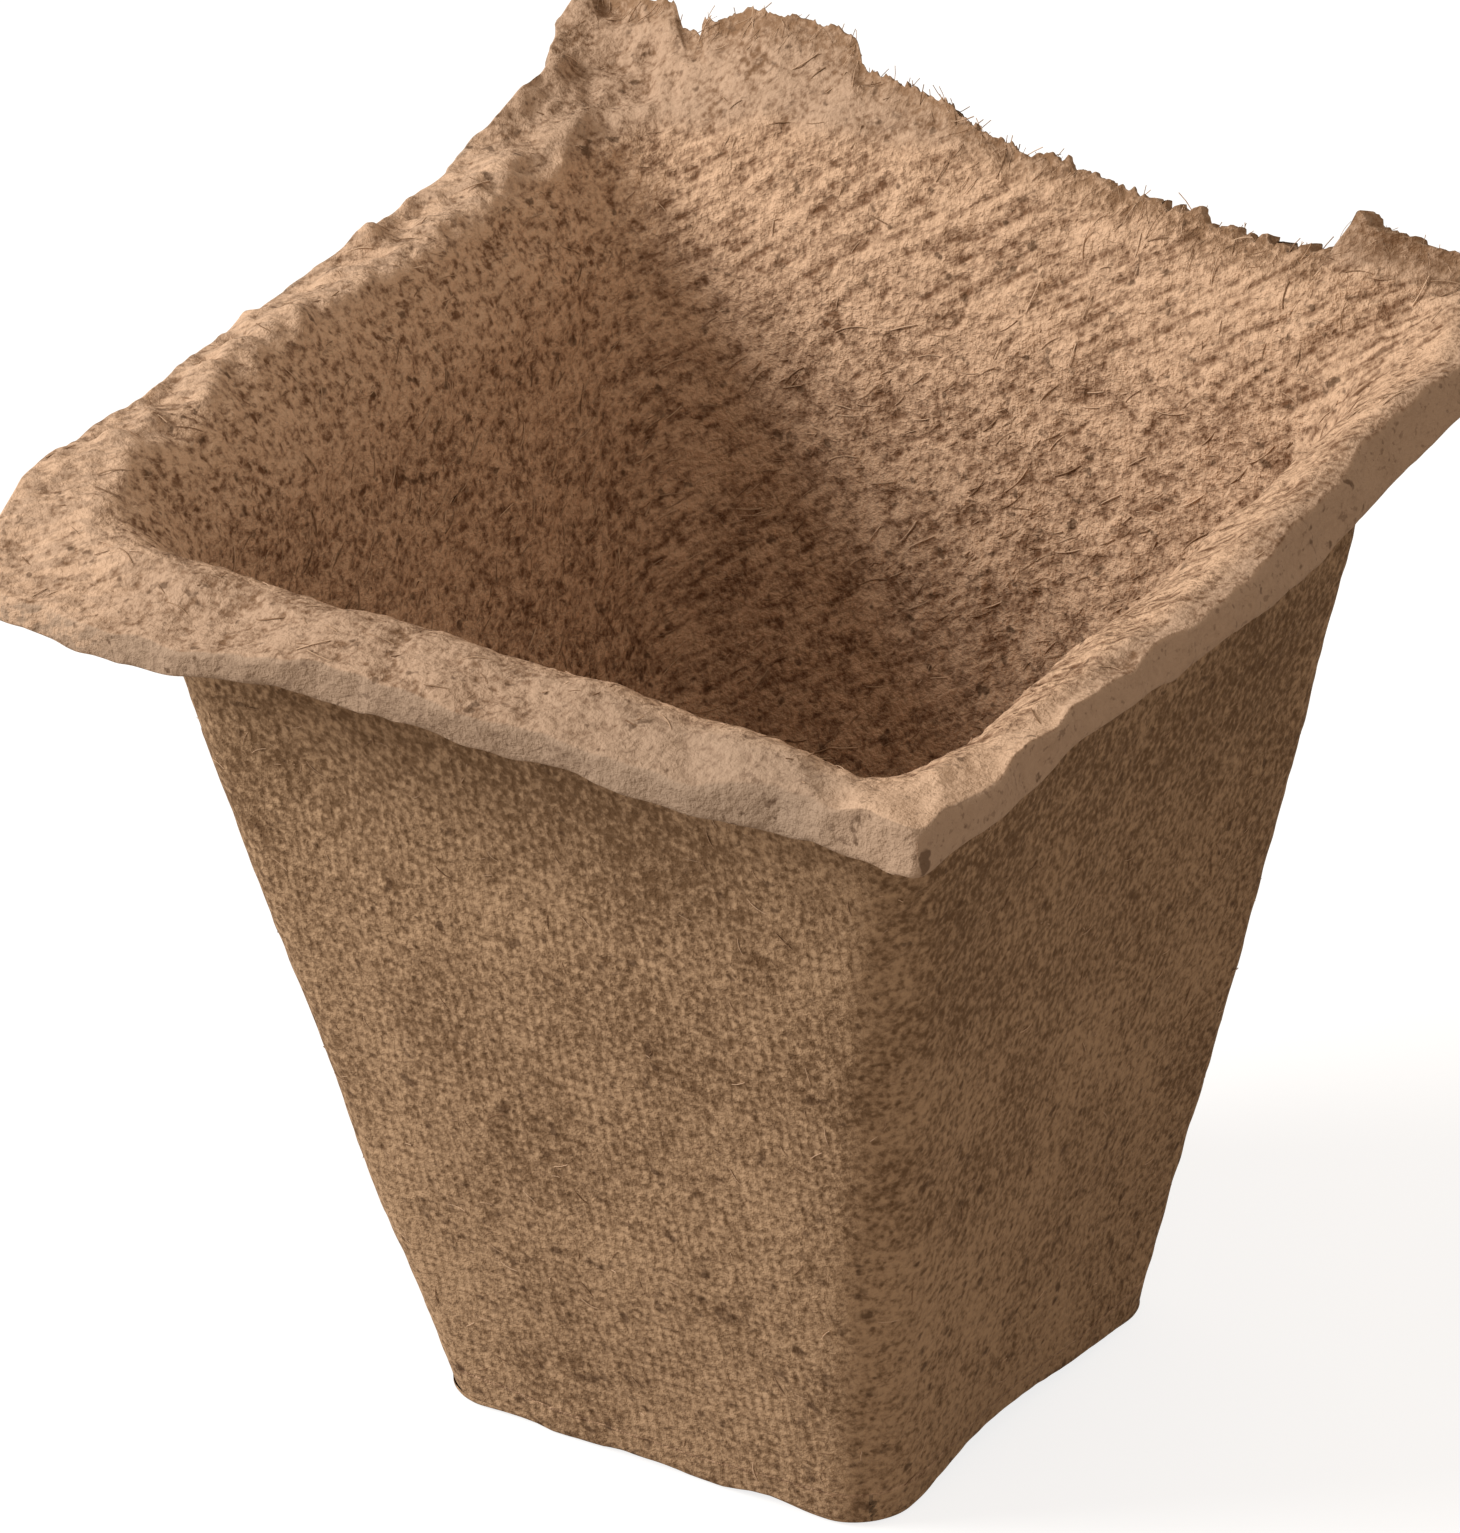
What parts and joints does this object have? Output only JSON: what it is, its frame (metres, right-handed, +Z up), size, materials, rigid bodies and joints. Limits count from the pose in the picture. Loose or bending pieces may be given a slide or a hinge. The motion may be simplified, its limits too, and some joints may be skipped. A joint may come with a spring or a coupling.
{
  "type": "peat pot",
  "caption": "Square tapered moulded-fibre seedling pot, open at the top, with a flared lip, rounded corners and a ragged torn strip along the back lip.",
  "frame": {"origin": "middle of the pot's base, on the surface that it stands on", "axes": "+Z up, -Y out of the front wall, +Y towards the torn back lip, +X out of the right wall"},
  "size_m": [0.06, 0.0601, 0.0628],
  "materials": {
    "wall_fibre": "matte",
    "base_fibre": "matte",
    "lip_fibre": "matte",
    "torn_fibre": "matte"
  },
  "bodies": {
    "root": {"base_panel": "base_fibre", "front_left_foot": "base_fibre", "front_right_foot": "base_fibre", "back_right_foot": "base_fibre", "back_left_foot": "base_fibre", "front_wall": "wall_fibre", "right_wall": "wall_fibre", "back_wall": "wall_fibre", "left_wall": "wall_fibre", "front_lip": "lip_fibre", "right_lip": "lip_fibre", "back_lip": "lip_fibre", "left_lip": "lip_fibre", "torn_strip": "torn_fibre"}
  },
  "joints": []
}
